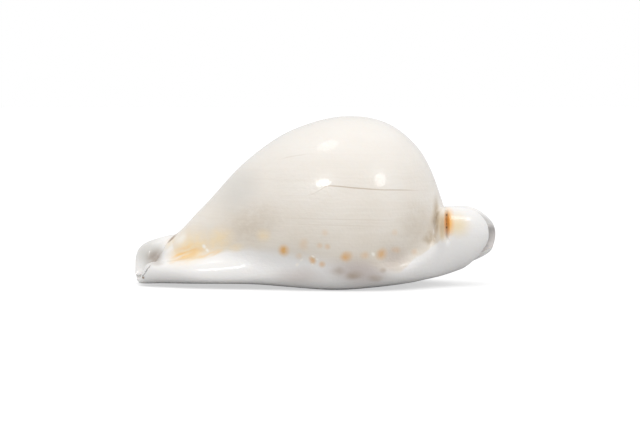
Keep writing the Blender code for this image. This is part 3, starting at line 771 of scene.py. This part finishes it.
# Each mark is an ellipsoid about its point on the surface, long enough across the shell for the
# surface not to curve out of it
turned = {}
for hue, grain, *marks_by_side in STAINS.values():
    share = 0
    for side, marks in zip((-1, 1), marks_by_side):
        for x, height, half_length, half_height, rise, strength in marks:
            turn = math.radians(rise)
            if rise not in turned:
                turned[rise] = node(
                    "Mapping", [("Vector", wavy), ("Rotation", (0, turn, 0))]).outputs[0]
            centre = Matrix.Rotation(turn, 3, "Y") @ on_shell(x, height, side)
            sizes = half_length, 3 * max(half_length, half_height), half_height
            mark = node("VectorMath", [
                (0, turned[rise]), (1, [1 / size for size in sizes]),
                (2, [-middle / size for middle, size in zip(centre, sizes)])],
                operation="MULTIPLY_ADD")
            away = node("VectorMath", [(0, mark.outputs[0])], operation="LENGTH").outputs["Value"]
            spot = node(
                "MapRange", [("Value", away), (1, 1), (2, 0.1), (4, strength)],
                interpolation_type="SMOOTHSTEP").outputs[0]
            share = node("Math", [(0, spot), (1, share)], operation="MAXIMUM").outputs[0]
    if grain:
        share = node("Math", [(0, share), (1, grains[grain])], operation="MULTIPLY").outputs[0]
    colour = painted(colour, share, linear(hue))

# It is stained between the teeth and dull, faintly lilac inside. The gap between the lobes gets
# grey painted shade.
INNER_COLOURS = {"groove": ("#C99A66", 0.45), "inside": ("#D6D0CD", 0.9), "gap": ("#8D8B89", 0.55)}
for name, (hue, most) in INNER_COLOURS.items():
    share = node("Attribute", attribute_name=name).outputs["Fac"]
    share = node("Math", [(0, share), (1, most)], operation="MULTIPLY").outputs[0]
    colour = painted(colour, share, linear(hue))
tree.links.new(colour, surface.inputs["Base Color"])

# Old gloss: a little uneven, with faint waves and growth lines that the highlights break on
WAVE_LENGTH = 0.9
WAVE_HEIGHT = 0.065
gloss = node("MapRange", [("Value", grains["patches"]), (1, 0.65), (2, 1), (3, 0.36), (4, 0.28)])
tree.links.new(gloss.outputs[0], surface.inputs["Roughness"])
waves = node("TexNoise", [("Vector", in_mm), ("Scale", 1 / WAVE_LENGTH), ("Detail", 2)]).outputs[0]
relief = node("Math", [(0, faint), (1, waves)], operation="ADD").outputs[0]
bump = node("Bump", [("Strength", 1), ("Distance", WAVE_HEIGHT * MM), ("Height", relief)])
tree.links.new(bump.outputs[0], surface.inputs["Normal"])
ARAGONITE = {
    "IOR": 1.53, "Coat Weight": 0.5, "Coat Roughness": 0.08, "Coat IOR": 1.53,
    "Subsurface Weight": 0.1, "Subsurface Radius": (1.0, 0.8, 0.6), "Subsurface Scale": 1.0 * MM}
for name, value in ARAGONITE.items():
    surface.inputs[name].default_value = value
shell.data.materials.append(porcelain)


# Floor and light
# A plain white floor in a white room, with three small soft lamps that make the three highlights
# on the back: one overhead, a little to the left, and one to each side in front.
FLOOR_REACH = 3  # metres each way
floor_mesh = bmesh.new()
bmesh.ops.create_grid(floor_mesh, x_segments=1, y_segments=1, size=FLOOR_REACH)
floor = bpy.data.objects.new("floor", bpy.data.meshes.new("floor"))
floor_mesh.to_mesh(floor.data)
floor_mesh.free()
bpy.context.scene.collection.objects.link(floor)

# Matt paper. Most of its white is a glow that only the eye sees, which keeps the shadow faint
PAPER_GLOW = 0.57
paper = bpy.data.materials.new("white_paper")
paper.use_nodes = True
tree = paper.node_tree
sheet = tree.nodes["Principled BSDF"]
sheet.inputs["Base Color"].default_value = linear("#BCBCBC")
sheet.inputs["Roughness"].default_value = 0.9
sheet.inputs["Emission Color"].default_value = (1, 1, 1, 1)
seen = node("LightPath").outputs["Is Camera Ray"]
glow = node("Math", [(0, seen), (1, PAPER_GLOW)], operation="MULTIPLY")
tree.links.new(glow.outputs[0], sheet.inputs["Emission Strength"])
floor.data.materials.append(paper)

# The room's light is a little stronger from above, from the right and from the near side. To the
# eye the room is white all over
ROOM_LIGHT = (0.78, 1.0)  # from low down and from high up
room = bpy.data.worlds.new("white_room")
room.use_nodes = True
tree = room.node_tree
background = tree.nodes["Background"]
direction = node("TexCoord").outputs["Generated"]
to_right, to_back, height = node("SeparateXYZ", [(0, direction)]).outputs
height = node("Math", [(0, to_right), (1, 0.2), (2, height)], operation="MULTIPLY_ADD").outputs[0]
height = node("Math", [(0, to_back), (1, -0.35), (2, height)], operation="MULTIPLY_ADD").outputs[0]
light = node(
    "MapRange", [("Value", height), (1, -0.1), (2, 0.9), (3, ROOM_LIGHT[0]), (4, ROOM_LIGHT[1])])
seen = node("LightPath").outputs["Is Camera Ray"]
strength = node("Math", [(0, light.outputs[0]), (1, seen)], operation="MAXIMUM")
tree.links.new(strength.outputs[0], background.inputs["Strength"])
background.inputs["Color"].default_value = (1, 1, 1, 1)
bpy.context.scene.world = room

# Where each lamp hangs and its width and height, in mm, and its power in watts
LAMPS = {
    "overhead": ((-140, 62, 545), (150, 130), 0.1),
    "left_front": ((-270, -422, 462), (150, 90), 0.42),
    "right_front": ((465, -318, 450), (190, 170), 0.4),
}
for name, (position, size, power) in LAMPS.items():
    lamp = bpy.data.objects.new(name, bpy.data.lights.new(name, "AREA"))
    lamp.data.shape = "ELLIPSE"
    lamp.data.size, lamp.data.size_y = [length * MM for length in size]
    lamp.data.energy = power
    lamp.location = Vector(position) * MM
    lamp.rotation_euler = (LOOKS_AT - lamp.location).to_track_quat("-Z", "Y").to_euler()
    bpy.context.scene.collection.objects.link(lamp)

# White paper comes out white, with no film look laid over it
bpy.context.scene.view_settings.view_transform = "Standard"
